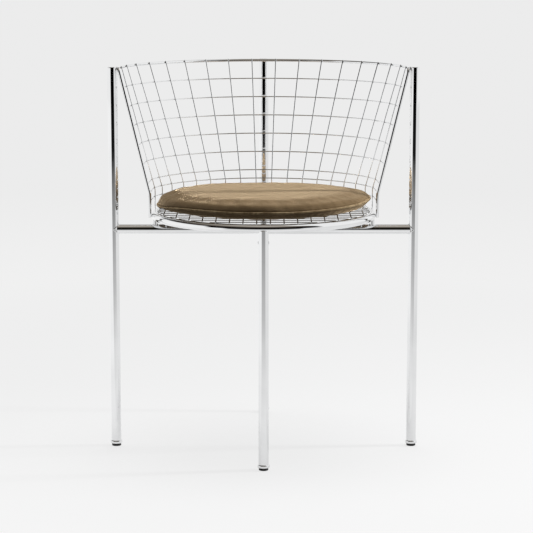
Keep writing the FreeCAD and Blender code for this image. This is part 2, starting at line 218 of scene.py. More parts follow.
def handling_group():
    """Smears of handling and hairline scratches, as masks over the surface."""
    name = "handling marks"
    if name in bpy.data.node_groups:
        return bpy.data.node_groups[name]
    group, given, result = new_group(
        name, {"Smear size": 14.0, "Scratch size": 160.0}, ["Smears", "Scratches"])
    place = object_place(group)
    smears = add_noise(group, place, given["Smear size"], 5.0, 0.6)
    stretched = add_node(group, "ShaderNodeMapping", {
        "Vector": place, "Scale": (1.0, 1.0, 0.07), "Rotation": (0.35, 0.2, 0.0)})
    scratches = add_noise(group, stretched.outputs["Vector"], given["Scratch size"], 2.0)
    set_inputs(group, result, {"Smears": add_range(group, smears, 0.42, 0.72),
                               "Scratches": add_range(group, scratches, 0.62, 0.74)})
    return group


def pile_group():
    """Short pile: how the hairs lean in patches, and their fine grain."""
    name = "pile"
    if name in bpy.data.node_groups:
        return bpy.data.node_groups[name]
    group, given, result = new_group(
        name, {"Brushed patches": 16.0, "Hair size": 1300.0}, ["Lean", "Hairs"])
    place = object_place(group)
    lean = add_noise(group, place, given["Brushed patches"], 4.0, 1.4)
    set_inputs(group, result, {"Lean": add_range(group, lean, 0.35, 0.68),
                               "Hairs": add_noise(group, place, given["Hair size"], 2.0)})
    return group


# Finishes
def new_material(name):
    material = bpy.data.materials.new(name)
    material.use_nodes = True
    return material, material.node_tree, material.node_tree.nodes["Principled BSDF"]


def chrome_material():
    """Chrome plate over polished tube, with faint smears and hairlines."""
    name = "polished chrome"
    if name in bpy.data.materials:
        return bpy.data.materials[name]
    material, tree, shader = new_material(name)
    marks = add_node(tree, "ShaderNodeGroup", node_tree=handling_group()).outputs
    clean = tuple(colours().chrome)
    haze = add_range(tree, marks["Smears"], 0, 1, 0.015, 0.055)
    lines = add_math(tree, "MULTIPLY", marks["Scratches"], 0.05)
    ripple = add_bump(tree, add_noise(tree, object_place(tree), 55.0, 2.0), 0.03, 0.0004)
    set_inputs(tree, shader, {
        "Metallic": 1.0,
        "Base Color": add_colour_mix(tree, marks["Smears"], clean, scaled(clean, 0.95)),
        "Roughness": add_math(tree, "ADD", haze, lines),
        "Normal": add_bump(tree, marks["Scratches"], 0.08, 0.0001, ripple),
    })
    return material


def rubber_material():
    """Moulded rubber, scuffed where it slides on the floor."""
    name = "black rubber"
    if name in bpy.data.materials:
        return bpy.data.materials[name]
    material, tree, shader = new_material(name)
    marks = add_node(tree, "ShaderNodeGroup", {"Smear size": 90.0, "Scratch size": 420.0},
                     node_tree=handling_group()).outputs
    grain = add_noise(tree, object_place(tree), 900.0, 3.0)
    clean = tuple(colours().rubber)
    set_inputs(tree, shader, {
        "Base Color": add_colour_mix(tree, marks["Smears"], clean, scaled(clean, 2.6, 0.012)),
        "Roughness": add_range(tree, grain, 0.3, 0.7, 0.5, 0.68),
        "Normal": add_bump(tree, grain, 0.25, 0.0003),
    })
    return material


def velvet_material(name, light, shade, patches):
    """Short brushed pile that catches the light at its edges."""
    if name in bpy.data.materials:
        return bpy.data.materials[name]
    material, tree, shader = new_material(name)
    pile = add_node(tree, "ShaderNodeGroup", {"Brushed patches": patches},
                    node_tree=pile_group()).outputs
    brushed = add_colour_mix(tree, pile["Lean"], tuple(shade), tuple(light))
    speckle = add_range(tree, pile["Hairs"], 0.35, 0.7, 0.0, 0.28)
    patchy = add_bump(tree, pile["Lean"], 0.12, 0.002)
    set_inputs(tree, shader, {
        "Base Color": add_colour_mix(tree, speckle, brushed, scaled(shade, 0.55)),
        "Roughness": 0.9,
        "Specular IOR Level": 0.15,
        "Sheen Weight": 1.0,
        "Sheen Roughness": 0.28,
        "Sheen Tint": (1.0, 0.77, 0.5),
        "Normal": add_bump(tree, pile["Hairs"], 0.5, 0.0006, patchy),
    })
    return material


# Mesh helpers
def finish_piece(name, mesh, material, body, nodes=(), sharp=40):
    """Turn a bmesh into a piece of the chair that rides on a body and stands for CAD nodes."""
    data = bpy.data.meshes.new(name)
    bmesh.ops.recalc_face_normals(mesh, faces=mesh.faces)
    mesh.to_mesh(data)
    mesh.free()
    for face in data.polygons:
        face.use_smooth = True
    data.set_sharp_from_angle(angle=math.radians(sharp))
    data.materials.append(material)
    piece = bpy.data.objects.new(name, data)
    bpy.context.scene.collection.objects.link(piece)
    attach(piece, body)
    if nodes:
        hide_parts(*nodes)
    return piece


def chrome_piece(name, mesh, nodes=(), sharp=40):
    return finish_piece(name, mesh, chrome_material(), "frame", nodes, sharp)


def weld_piece(name, mesh):
    return chrome_piece(name, mesh, sharp=70)


def circle_points(centre, radius, steps):
    """Places on a level circle, from the right and over the back."""
    return [centre + Vector((math.cos(math.tau * step / steps),
                             math.sin(math.tau * step / steps), 0)) * radius
            for step in range(steps)]


def turn_outline(mesh, outline, centre, sides):
    """Spin a chain of radius and height about a vertical axis. Both ends lie on the axis, or the
    chain is closed by repeating its first corner."""
    corners = [mesh.verts.new(centre + Vector((across, 0, height))) for across, height in outline]
    edges = [mesh.edges.new(pair) for pair in zip(corners, corners[1:])]
    bmesh.ops.spin(mesh, geom=corners + edges, cent=centre, axis=UP, dvec=Vector(),
                   angle=math.tau, steps=sides, use_merge=True)
    bmesh.ops.remove_doubles(mesh, verts=mesh.verts, dist=1e-6)


def rounding(reach, height, radius, start, end, steps):
    """Radius and height of places on a rounded edge, angles in degrees from outwards."""
    angles = [math.radians(start + (end - start) * step / steps) for step in range(steps + 1)]
    return [(reach + radius * math.cos(angle), height + radius * math.sin(angle))
            for angle in angles]


def first_section(mesh, place, heading, radius, sides):
    """The edges of a circle across a heading."""
    turn = UP.rotation_difference(heading).to_matrix().to_4x4()
    corners = bmesh.ops.create_circle(mesh, segments=sides, radius=radius,
                                      matrix=Matrix.Translation(place) @ turn)["verts"]
    return list({edge for vert in corners for edge in vert.link_edges})


def next_section(mesh, edges, places, headings, growth=1.0):
    """Extrude a section from one place and heading to the next. Returns its new edges."""
    grown = bmesh.ops.extrude_edge_only(mesh, edges=edges)["geom"]
    corners = [item for item in grown if isinstance(item, bmesh.types.BMVert)]
    kept = set(corners)
    turn = headings[0].rotation_difference(headings[1]).to_matrix()
    bmesh.ops.rotate(mesh, verts=corners, cent=places[0], matrix=turn)
    bmesh.ops.translate(mesh, verts=corners, vec=places[1] - places[0])
    if growth != 1.0:
        bmesh.ops.scale(mesh, verts=corners, vec=(growth, growth, growth),
                        space=Matrix.Translation(-places[1]))
    return [item for item in grown if isinstance(item, bmesh.types.BMEdge)
            and item.verts[0] in kept and item.verts[1] in kept]


# How far a wire's rounded end reaches back, in radii, and how wide it is there
WIRE_END = ((0.0, 0.6), (0.12, 0.85), (0.4, 1.0))


def sweep(mesh, path, radius, sides, rounded=True):
    """Extrude a round section along a path and close its ends."""
    first, last = path[0], path[-1]
    stations = [(point, 1.0) for point in path]
    if rounded:
        heading = (path[1] - first).normalized() * radius
        arrival = (last - path[-2]).normalized() * radius
        opening = [(first + heading * depth, share) for depth, share in WIRE_END]
        closing = [(last - arrival * depth, share) for depth, share in WIRE_END[::-1]]
        stations = opening + stations[1:-1] + closing
    points, shares = zip(*stations)
    headings = [(after - before).normalized()
                for before, after in zip(points[:1] + points, points[1:] + points[-1:])]
    edges = first_section(mesh, points[0], headings[0], radius * shares[0], sides)
    bmesh.ops.edgeloop_fill(mesh, edges=edges)
    for index in range(1, len(points)):
        edges = next_section(mesh, edges, points[index - 1:index + 1],
                             headings[index - 1:index + 1], shares[index] / shares[index - 1])
    bmesh.ops.edgeloop_fill(mesh, edges=edges)


def sweep_closed(mesh, points, radius, sides=8):
    """Extrude a round section along a closed line."""
    ahead = points[1:] + points[:1]
    headings = [(after - before).normalized()
                for before, after in zip(points[-1:] + points, ahead)]
    first = edges = first_section(mesh, points[0], headings[0], radius, sides)
    for index in range(1, len(points)):
        edges = next_section(mesh, edges, points[index - 1:index + 1],
                             headings[index - 1:index + 1])
    bmesh.ops.bridge_loops(mesh, edges=first + edges)


def rounded_path(corners, radii, steps):
    """Straight runs between corners, with an arc of the given radius at each bend."""
    path = [corners[0]]
    for before, corner, after, radius in zip(corners, corners[1:], corners[2:], radii):
        towards_start = (before - corner).normalized()
        towards_end = (after - corner).normalized()
        half = towards_start.angle(towards_end) / 2
        inwards = (towards_start + towards_end).normalized()
        centre = corner + inwards * (radius / math.sin(half))
        arm = corner + towards_start * (radius / math.tan(half)) - centre
        other = corner + towards_end * (radius / math.tan(half)) - centre
        turn = arm.rotation_difference(other)
        for step in range(steps + 1):
            path.append(centre + Quaternion(turn.axis, turn.angle * step / steps) @ arm)
    path.append(corners[-1])
    return path


def mirrored(point):
    return Vector((-point.x, point.y, point.z))


# The wall of the basket, pitches in degrees from wire to wire
WELD_SINK = 0.00004
FLOOR_SINK = 0.000015
TURN_HEIGHT = 0.5
TURN_BEND = 0.03
BORDER_BEND = 0.008
UPRIGHTS_A_SIDE = 9
RIM_PITCH = 10.2
FOOT_PITCH = 8.3
FOOT_SPREAD = 0.0105
HOOP_HEIGHTS = [0.704, 0.667, 0.630, 0.593, 0.556, 0.519]
BAND_HEIGHTS = [0.502, 0.485]
WIRE_FOOT = 0.4555
WIRE_TOP = 0.7442
BORDER_FOOT = 0.454


def rim_height():
    return LEG_TOP - sizes().border_radius


def rim_radius():
    return LEG_PLACES["right"].x - sizes().leg_radius - sizes().border_radius


def rise(height):
    """Share of the flaring wall's height, from its foot to the rim."""
    return max(0.0, height - TURN_HEIGHT) / (rim_height() - TURN_HEIGHT)


def wall_point(step, height, outwards=0.0):
    """A place on an upright wire. Steps count from the middle of the back, to the right."""
    low = sizes().ring_radius + sizes().ring_tube_radius + sizes().wire_radius - WELD_SINK
    high = rim_radius() - sizes().border_radius - sizes().wire_radius + WELD_SINK
    foot_turn = math.radians(FOOT_PITCH * step + FOOT_SPREAD * step ** 3)
    rim_turn = math.radians(RIM_PITCH * step)
    foot = RING_MIDDLE + Vector((math.sin(foot_turn), math.cos(foot_turn), 0)) * (low + outwards)
    rim = CROSSING + Vector((math.sin(rim_turn), math.cos(rim_turn), 0)) * (high + outwards)
    point = foot.lerp(rim, rise(height))
    point.z = height
    return point


def upright_steps():
    """Number, side and step of each upright wire."""
    for number in range(1, UPRIGHTS_A_SIDE + 1):
        for side, sign in (("left", -1), ("right", 1)):
            yield number, side, sign * (number - 0.5)


def border_corners():
    """Middle of the border rod at its right foot, its turn beside the seat and its top corner."""
    plane = CROSSING.y - BORDER_BEND
    reach = sizes().ring_radius + sizes().ring_tube_radius + sizes().border_radius - WELD_SINK
    across = math.sqrt(reach ** 2 - (plane - RING_MIDDLE.y) ** 2)
    return (Vector((across, plane, BORDER_FOOT)), Vector((across, plane, TURN_HEIGHT)),
            Vector((rim_radius(), plane, rim_height())))


def border_path():
    """The border rod from its right foot, over the rim, to its left foot."""
    foot, turn, corner = border_corners()
    rim_start = Vector((corner.x, CROSSING.y, corner.z))
    side = rounded_path([foot, turn, corner, rim_start + BACK], [TURN_BEND, BORDER_BEND], 8)[:-1]
    rim = circle_points(Vector((0, CROSSING.y, corner.z)), corner.x, 180)[1:90]
    return side + rim + [mirrored(point) for point in side[::-1]]


def border_at(height):
    foot, turn, corner = border_corners()
    point = turn.lerp(corner, rise(height))
    point.z = height
    return point


# Tubes, caps and feet
SPIGOT = 0.009
BAR_HIDDEN = 0.0065
STANDOFF_RADIUS = 0.005
CAP_THICKNESS = 0.0016
GLIDE_RADIUS = 0.0115
PAD_RADIUS = 0.009


def standoff_places():
    """Where the seat ring passes over the bars."""
    reach = sizes().ring_radius
    across = math.sqrt(reach ** 2 - (RING_MIDDLE.y - CROSSING.y) ** 2)
    return [Vector((-across, CROSSING.y, 0)), Vector((across, CROSSING.y, 0)),
            Vector((0, RING_MIDDLE.y + reach, 0))]


class CHAIR_OT_legs(bpy.types.Operator):
    """Make the four leg tubes and the caps on the tall ones"""

    bl_idname = "chair.add_legs"
    bl_label = "Legs"

    def execute(self, context):
        outside = sizes().leg_radius
        inside = outside - sizes().tube_wall
        edge = 0.0003
        for side, place in LEG_PLACES.items():
            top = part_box(f"{side}_leg")[1].z
            outline = [(inside, LEG_FOOT), (outside - edge, LEG_FOOT), (outside, LEG_FOOT + edge),
                       (outside, top - edge), (outside - edge, top), (inside, top),
                       (inside, LEG_FOOT)]
            mesh = bmesh.new()
            turn_outline(mesh, outline, place, sizes().round_sides)
            chrome_piece(f"{side}_leg_tube", mesh, [f"{side}_leg"])
        base = LEG_TOP - CAP_THICKNESS
        edge = 0.0002
        rim = CAP_THICKNESS * 0.55
        dome = 0.00006
        outline = [(0, base - SPIGOT), (inside, base - SPIGOT), (inside, base),
                   (outside - edge, base), (outside, base + edge),
                   *rounding(outside - rim, LEG_TOP - rim, rim, 0, 90, 5),
                   (outside * 0.5, LEG_TOP - dome), (0, LEG_TOP)]
        mesh = bmesh.new()
        for side in TALL_LEGS:
            turn_outline(mesh, outline, LEG_PLACES[side], sizes().round_sides)
        chrome_piece("leg_end_caps", mesh, ["leg_caps"])
        return {"FINISHED"}


class CHAIR_OT_feet(bpy.types.Operator):
    """Make the chromed glides and the rubber pads under them"""

    bl_idname = "chair.add_feet"
    bl_label = "Feet"

    def execute(self, context):
        bore = sizes().leg_radius - sizes().tube_wall
        pad_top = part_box("foot_pads")[1].z
        shoulder, lip, hem = 0.002, 0.0006, 0.0012
        glide = [(0, pad_top),
                 *rounding(GLIDE_RADIUS - lip, pad_top + lip, lip, -90, 0, 4),
                 *rounding(GLIDE_RADIUS - shoulder, LEG_FOOT - shoulder, shoulder, 0, 90, 8),
                 (bore, LEG_FOOT), (bore, LEG_FOOT + SPIGOT), (0, LEG_FOOT + SPIGOT)]
        groove = [(PAD_RADIUS, 0.0028), (PAD_RADIUS - 0.0004, 0.0031),
                  (PAD_RADIUS - 0.0004, 0.0037), (PAD_RADIUS, 0.0040)]
        hollow = 0.0003
        pad = [(0, hollow), (PAD_RADIUS * 0.6, hollow), (PAD_RADIUS * 0.66, 0),
               *rounding(PAD_RADIUS - hem, hem, hem, -90, 0, 5), *groove,
               (PAD_RADIUS, pad_top), (0, pad_top)]
        glides, pads = bmesh.new(), bmesh.new()
        for place in LEG_PLACES.values():
            turn_outline(glides, glide, place, sizes().round_sides)
            turn_outline(pads, pad, place, sizes().round_sides)
        chrome_piece("leg_glide_cups", glides, ["leg_glides"])
        finish_piece("rubber_foot_pads", pads, rubber_material(), "frame",
                     ["foot_pads"])
        return {"FINISHED"}


class CHAIR_OT_bars(bpy.types.Operator):
    """Make the crossed bars and the posts that carry the seat ring"""

    bl_idname = "chair.add_bars"
    bl_label = "Bars"

    def execute(self, context):
        radius = sizes().leg_radius
        level = UP * CROSSING.z
        crossing = CROSSING.xy.to_3d()
        ends = {
            "side": (LEG_PLACES["left"], LEG_PLACES["right"], RIGHT),
            "front": (LEG_PLACES["front"], crossing, BACK),
            "back": (crossing, LEG_PLACES["back"], BACK),
        }
        for name, (start, end, along) in ends.items():
            mesh = bmesh.new()
            sweep(mesh, [start + along * BAR_HIDDEN + level, end - along * BAR_HIDDEN + level],
                  radius, sizes().round_sides, rounded=False)
            chrome_piece(f"{name}_bar_tube", mesh, [f"{name}_bar"])
        mesh = bmesh.new()
        low = level + UP * radius * 0.8
        high = UP * (RING_MIDDLE.z - sizes().ring_tube_radius * 0.8)
        for place in standoff_places():
            sweep(mesh, [place + low, place + high], STANDOFF_RADIUS, sizes().round_sides,
                  rounded=False)
        chrome_piece("ring_standoff_posts", mesh, ["ring_standoffs"])
        return {"FINISHED"}


class CHAIR_OT_seat_ring(bpy.types.Operator):
    """Make the rolled ring under the basket"""

    bl_idname = "chair.add_seat_ring"
    bl_label = "Seat ring"

    def execute(self, context):
        tube = rounding(sizes().ring_radius, RING_MIDDLE.z, sizes().ring_tube_radius, 0, 360, 28)
        mesh = bmesh.new()
        turn_outline(mesh, tube, RING_PLACE, 168)
        chrome_piece("seat_ring_tube", mesh, ["seat_ring"])
        return {"FINISHED"}


class CHAIR_OT_border_rod(bpy.types.Operator):
    """Make the rod of the rim and the front edges"""

    bl_idname = "chair.add_border_rod"
    bl_label = "Border rod"

    def execute(self, context):
        mesh = bmesh.new()
        sweep(mesh, border_path(), sizes().border_radius, 20)
        chrome_piece("basket_border_rod", mesh, ["border_rod"])
        return {"FINISHED"}


class CHAIR_OT_uprights(bpy.types.Operator):
    """Make the upright wires of the basket"""

    bl_idname = "chair.add_uprights"
    bl_label = "Upright wires"

    def execute(self, context):
        for number, side, step in upright_steps():
            corners = [wall_point(step, height) for height in (WIRE_FOOT, TURN_HEIGHT, WIRE_TOP)]
            mesh = bmesh.new()
            sweep(mesh, rounded_path(corners, [TURN_BEND], 6), sizes().wire_radius,
                  sizes().wire_sides)
            chrome_piece(f"{side}_upright_wire_{number}", mesh, [f"{side}_upright_{number}"])
        return {"FINISHED"}


class CHAIR_OT_hoops(bpy.types.Operator):
    """Make the level wires round the basket"""

    bl_idname = "chair.add_hoops"
    bl_label = "Hoops"

    def execute(self, context):
        outwards = (sizes().wire_radius - WELD_SINK) * 2
        parts = 4
        last = round((UPRIGHTS_A_SIDE - 0.5) * parts)
        hoops = [(f"hoop_{number}", height) for number, height in enumerate(HOOP_HEIGHTS, 1)]
        hoops += [(f"band_hoop_{number}", height) for number, height in enumerate(BAND_HEIGHTS, 1)]
        for node, height in hoops:
            wall = [wall_point(index / parts, height, outwards)
                    for index in range(-last, last + 1)]
            end = border_at(height) + BACK * (sizes().border_radius - WELD_SINK)
            mesh = bmesh.new()
            sweep(mesh, [mirrored(end), *wall, end], sizes().wire_radius, sizes().wire_sides)
            chrome_piece(f"{node}_wire", mesh, [node])
        return {"FINISHED"}


# The floor mesh
LENGTHWISE_WIRES = 16
CROSSWISE_WIRES = 15
LENGTHWISE_REACH = 0.2125


class CHAIR_OT_floor_mesh(bpy.types.Operator):
    """Make the square mesh under the cushion"""

    bl_idname = "chair.add_floor_mesh"
    bl_label = "Floor mesh"

    def execute(self, context):
        radius = sizes().wire_radius
        tube = sizes().ring_tube_radius
        upper = RING_MIDDLE.z + tube + radius - FLOOR_SINK
        lower = upper - 2 * radius + WELD_SINK
        depth = lower - radius - RING_MIDDLE.z
        flank = sizes().ring_radius - math.sqrt(tube ** 2 - depth ** 2) + 0.0004
        rows = (
            ("lengthwise", LENGTHWISE_WIRES, LENGTHWISE_REACH, upper, BACK, RIGHT),
            ("crosswise", CROSSWISE_WIRES, flank, lower, RIGHT, BACK),
        )
        for name, count, reach, height, along, across in rows:
            mesh = bmesh.new()
            for number in range(count):
                offset = (number - (count - 1) / 2) * sizes().floor_pitch
                half = along * math.sqrt(reach ** 2 - (abs(offset) + radius) ** 2)
                place = RING_PLACE + UP * height + across * offset
                sweep(mesh, [place - half, place, place + half], radius, sizes().wire_sides)
            chrome_piece(f"{name}_mesh_wires", mesh, [f"{name}_floor_wires"])
        return {"FINISHED"}


# Welds: radii of the beads, half widths of the front leg's, and the spots at the rim
BEAD = 0.0011
POST_BEAD = 0.00088
LEG_TOP_BEAD = (0.0088, 0.0078)
RIM_SPOT = 0.0016
RIM_SPOT_OFFSETS = (0.0022, 0.0018)


def saddle(centre, radius, other_radius, heading, side, steps=48):
    """The closed line where a tube from the centre meets a tube of another radius. Heading is the
    first tube's direction and side is across both."""
    across = side.normalized()
    third = heading.cross(across)
    places = []
    for step in range(steps):
        angle = math.tau * step / steps
        offset = radius * math.cos(angle)
        reach = math.sqrt(max(other_radius ** 2 - offset ** 2, 0))
        places.append(centre + heading * reach + across * offset
                      + third * (radius * math.sin(angle)))
    return places


class CHAIR_OT_weld_beads(bpy.types.Operator):
    """Make the weld beads where tubes and rods meet"""

    bl_idname = "chair.add_weld_beads"
    bl_label = "Weld beads"

    def execute(self, context):
        radius = sizes().leg_radius
        level = UP * CROSSING.z
        joints = {
            "left": (LEG_PLACES["left"] + level, RIGHT, BACK),
            "right": (LEG_PLACES["right"] + level, -RIGHT, BACK),
            "front": (LEG_PLACES["front"] + level, BACK, RIGHT),
            "back": (LEG_PLACES["back"] + level, -BACK, RIGHT),
            "front_half": (CROSSING, -BACK, UP),
            "back_half": (CROSSING, BACK, UP),
        }
        for name, (centre, heading, side) in joints.items():
            mesh = bmesh.new()
            sweep_closed(mesh, saddle(centre, radius, radius, heading, side), BEAD)
            weld_piece(f"{name}_bar_weld", mesh)

        mesh = bmesh.new()
        for place, along in zip(standoff_places(), (RIGHT, RIGHT, BACK)):
            outwards = (place - RING_PLACE).normalized()
            foot = saddle(place + level, STANDOFF_RADIUS, radius, UP, along.cross(UP))
            head = saddle(place + UP * RING_MIDDLE.z, STANDOFF_RADIUS, sizes().ring_tube_radius,
                          -UP, outwards)
            for line in (foot, head):
                sweep_closed(mesh, line, POST_BEAD, sides=6)
        weld_piece("standoff_welds", mesh)

        mesh = bmesh.new()
        across, along = LEG_TOP_BEAD
        top = LEG_PLACES["front"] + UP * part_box("front_leg")[1].z
        loop = [top + Vector((point.x * across, point.y * along, 0))
                for point in circle_points(Vector(), 1.0, 48)]
        sweep_closed(mesh, loop, BEAD, sides=6)
        weld_piece("front_leg_ring_weld", mesh)

        mesh = bmesh.new()
        aside, above = RIM_SPOT_OFFSETS
        for leg, inwards in TALL_LEGS.items():
            touch = LEG_PLACES[leg] + UP * rim_height() + inwards * radius * 0.96
            for side in (-1, 1):
                for end in (-1, 1):
                    spot = touch + inwards.cross(UP) * side * aside + UP * end * above
                    bmesh.ops.create_uvsphere(mesh, u_segments=12, v_segments=8, radius=RIM_SPOT,
                                              matrix=Matrix.Translation(spot))
        weld_piece("rim_leg_welds", mesh)
        return {"FINISHED"}


def spot_weld(mesh, place):
    """A small round spot weld between two wires."""
    bmesh.ops.create_icosphere(mesh, subdivisions=1, radius=sizes().wire_radius * 0.75,
                               matrix=Matrix.Translation(place))


class CHAIR_OT_spot_welds(bpy.types.Operator):
    """Make the spots where the mesh wires cross"""

    bl_idname = "chair.add_spot_welds"
    bl_label = "Spot welds"

    def execute(self, context):
        radius = sizes().wire_radius
        mesh = bmesh.new()
        for height in HOOP_HEIGHTS + BAND_HEIGHTS:
            for _, _, step in upright_steps():
                centre = wall_point(step, height, radius - WELD_SINK)
                for end in (-1, 1):
                    spot_weld(mesh, centre + UP * end * radius * 0.55)
        weld_piece("wall_spot_welds", mesh)

        mesh = bmesh.new()
        level = UP * (RING_MIDDLE.z + sizes().ring_tube_radius - FLOOR_SINK)
        reach = sizes().ring_radius - 0.004
        for column in range(LENGTHWISE_WIRES):
            for row in range(CROSSWISE_WIRES):
                offset = Vector((column - (LENGTHWISE_WIRES - 1) / 2,
                                 row - (CROSSWISE_WIRES - 1) / 2, 0)) * sizes().floor_pitch
                if offset.length < reach:
                    spot_weld(mesh, RING_PLACE + offset + level)
        weld_piece("floor_spot_welds", mesh)
        return {"FINISHED"}


# The cushion: radius and height of its outline, measured from the middle of its underside
SEAM_HEIGHT = 0.0175
FLAT_RADIUS = 0.17
CROWN_HEIGHT = 0.0351
TALLEST = 0.0395
LOWER_SIDE = ((0.188, 0.0010), (0.199, 0.0042), (0.2060, 0.0100))
UPPER_SIDE = ((0.2083, 0.0222), (0.2072, 0.0272), (0.2040, 0.0308), (0.1985, 0.0328),
              (0.190, 0.0337), (0.180, 0.0340), (0.165, 0.0342), (0.150, 0.0343),
              (0.100, 0.0347), (0.050, 0.0350))
# How much smaller the cover starts than it ends, and how far the filling pushes it at most
TIGHT = 0.0012
FILLING = 0.0035
FILL_FRAMES = 20
# Radius where the seam's rise and fall sets in, over what width, and the height it leaves alone
SAG_START, SAG_WIDTH = 0.14, 0.06
SHOULDER_HEIGHT = 0.0345
# The seam draws the cloth in beside it, and puckers reach a little further
SEAM_PULL, SEAM_PULL_WIDTH = 0.0007, 0.0026
PUCKER, PUCKER_WIDTH, PUCKER_CLEAR = 0.0008, 0.016, 0.006


def seam_rise(angle):
    """How far the soft edge sags or lifts. The angle is measured from the right, over the back."""
    across = math.cos(angle)
    sag = -0.0095 * max(0.0, -across) ** 5
    lift = 0.0045 * max(0.0, across) ** 3
    wander = noise.noise(Vector((across * 2.2, math.sin(angle) * 2.2, 5.0)))
    return sag + lift + wander * 0.0012


def cushion_outline():
    """Radius and height of the cushion before it is filled, from its underside to its crown."""
    seam = (sizes().cushion_radius, SEAM_HEIGHT)
    side = [(radius - TIGHT, height) for radius, height in (*LOWER_SIDE, seam, *UPPER_SIDE)]
    return [(0, 0), (FLAT_RADIUS * 0.5, 0), (FLAT_RADIUS, 0), *side, (0, CROWN_HEIGHT)]


def hold_seam(piece):
    """Pin the cover along its seam. Returns the vertex group's name."""
    seam = piece.vertex_groups.new(name="seam")
    for vert in piece.data.vertices:
        out = vert.co - CUSHION_MIDDLE
        nearness = 1 - abs(out.z - SEAM_HEIGHT) / 0.004
        if out.xy.length > sizes().cushion_radius - 0.006 and nearness > 0:
            seam.add([vert.index], min(1.0, nearness * 1.5), "REPLACE")
    return seam.name


def stuff(piece):
    """Fill the cushion with a short cloth run, held at its seam, and keep the result."""
    cloth = piece.modifiers.new("fill", "CLOTH")
    cloth.settings.quality = 6
    cloth.settings.mass = 0.3
    cloth.settings.tension_stiffness = 18
    cloth.settings.compression_stiffness = 12
    cloth.settings.shear_stiffness = 5
    cloth.settings.bending_stiffness = 4.0
    cloth.settings.use_pressure = True
    cloth.settings.uniform_pressure_force = 4
    cloth.settings.effector_weights.gravity = 0
    cloth.settings.vertex_group_mass = hold_seam(piece)
    cloth.collision_settings.use_collision = False
    scene = bpy.context.scene
    for number in range(1, FILL_FRAMES + 1):
        scene.frame_set(number)
    shown = piece.evaluated_get(bpy.context.evaluated_depsgraph_get())
    filled = [vert.co.copy() for vert in shown.data.vertices]
    piece.modifiers.remove(cloth)
    scene.frame_set(1)
    for vert, end in zip(piece.data.vertices, filled):
        move = end - vert.co
        if move.length > FILLING:
            move = move.normalized() * FILLING
        vert.co = vert.co + move


def bell(distance, width):
    return math.exp(-(distance / width) ** 2)


def shape_cushion(piece):
    """Lay the underside on the wires, sag the soft edge, pull the seam in and pucker the cloth
    beside it."""
    seam_radius = sizes().cushion_radius
    for vert in piece.data.vertices:
        out = vert.co - CUSHION_MIDDLE
        reach = max(out.xy.length, 1e-6)
        angle = math.atan2(out.y, out.x)
        direction = Vector((out.x / reach, out.y / reach, 0))
        height = out.z
        beside = abs(height - SEAM_HEIGHT)
        above = height > SEAM_HEIGHT
        edge = min(1.0, max(0.0, (reach - SAG_START) / SAG_WIDTH))
        edge = edge * edge * (3 - 2 * edge)
        if reach > seam_radius - 0.05:
            pucker = noise.noise(Vector((angle * 22.0, 0.3, 0)))
            pucker += 0.5 * noise.noise(Vector((angle * 51.0, 4.1, 0)))
            pucker *= bell(seam_radius - reach, PUCKER_WIDTH) * (1 - bell(beside, PUCKER_CLEAR))
            height += (1 if above else -1) * PUCKER * pucker
        if reach > seam_radius - 0.012:
            reach -= SEAM_PULL * bell(beside, SEAM_PULL_WIDTH)
        seam = SEAM_HEIGHT + seam_rise(angle)
        if above:
            dent = noise.noise(vert.co * 9.0) * 0.0014 + noise.noise(vert.co * 24.0) * 0.0005
            crease = noise.noise(Vector((vert.co.x * 11.0, vert.co.y * 44.0, 1.7)))
            dent -= 0.0012 * max(0.0, crease - 0.12)
            height += dent * min(1.0, (height - SEAM_HEIGHT) / 0.012)
            back = min(1.0, max(-1.0, out.y / FLAT_RADIUS))
            height *= 0.985 - 0.095 * back - 0.045 * back ** 2
            share = (SHOULDER_HEIGHT - seam) / (SHOULDER_HEIGHT - SEAM_HEIGHT)
            moved = seam + (height - SEAM_HEIGHT) * share
        else:
            moved = height * seam / SEAM_HEIGHT
        height += (moved - height) * edge
        height = min(max(height, 0.0), TALLEST)
        vert.co = CUSHION_MIDDLE + direction * min(reach, seam_radius) + UP * height


def apply_modifier(piece, name, kind, **settings):
    modifier = piece.modifiers.new(name, kind)
    for label, value in settings.items():
        setattr(modifier, label, value)
    bpy.context.view_layer.objects.active = piece
    bpy.ops.object.modifier_apply(modifier=modifier.name)


class CHAIR_OT_cushion(bpy.types.Operator):
    """Make the loose round cushion"""

    bl_idname = "chair.add_cushion"
    bl_label = "Cushion"

    def execute(self, context):
        mesh = bmesh.new()
        turn_outline(mesh, cushion_outline(), CUSHION_MIDDLE, 96)
        material = velvet_material("brushed velvet", colours().velvet, colours().velvet_shade, 16.0)
        piece = finish_piece("velvet_cushion", mesh, material, "cushion",
                             ["seat_cushion"], sharp=180)
        apply_modifier(piece, "even faces", "REMESH", mode="VOXEL", voxel_size=0.0045,
                       use_smooth_shade=True)
        stuff(piece)
        apply_modifier(piece, "easing", "SMOOTH", factor=0.5, iterations=4)
        apply_modifier(piece, "rounding", "SUBSURF", levels=1, render_levels=1)
        shape_cushion(piece)
        return {"FINISHED"}


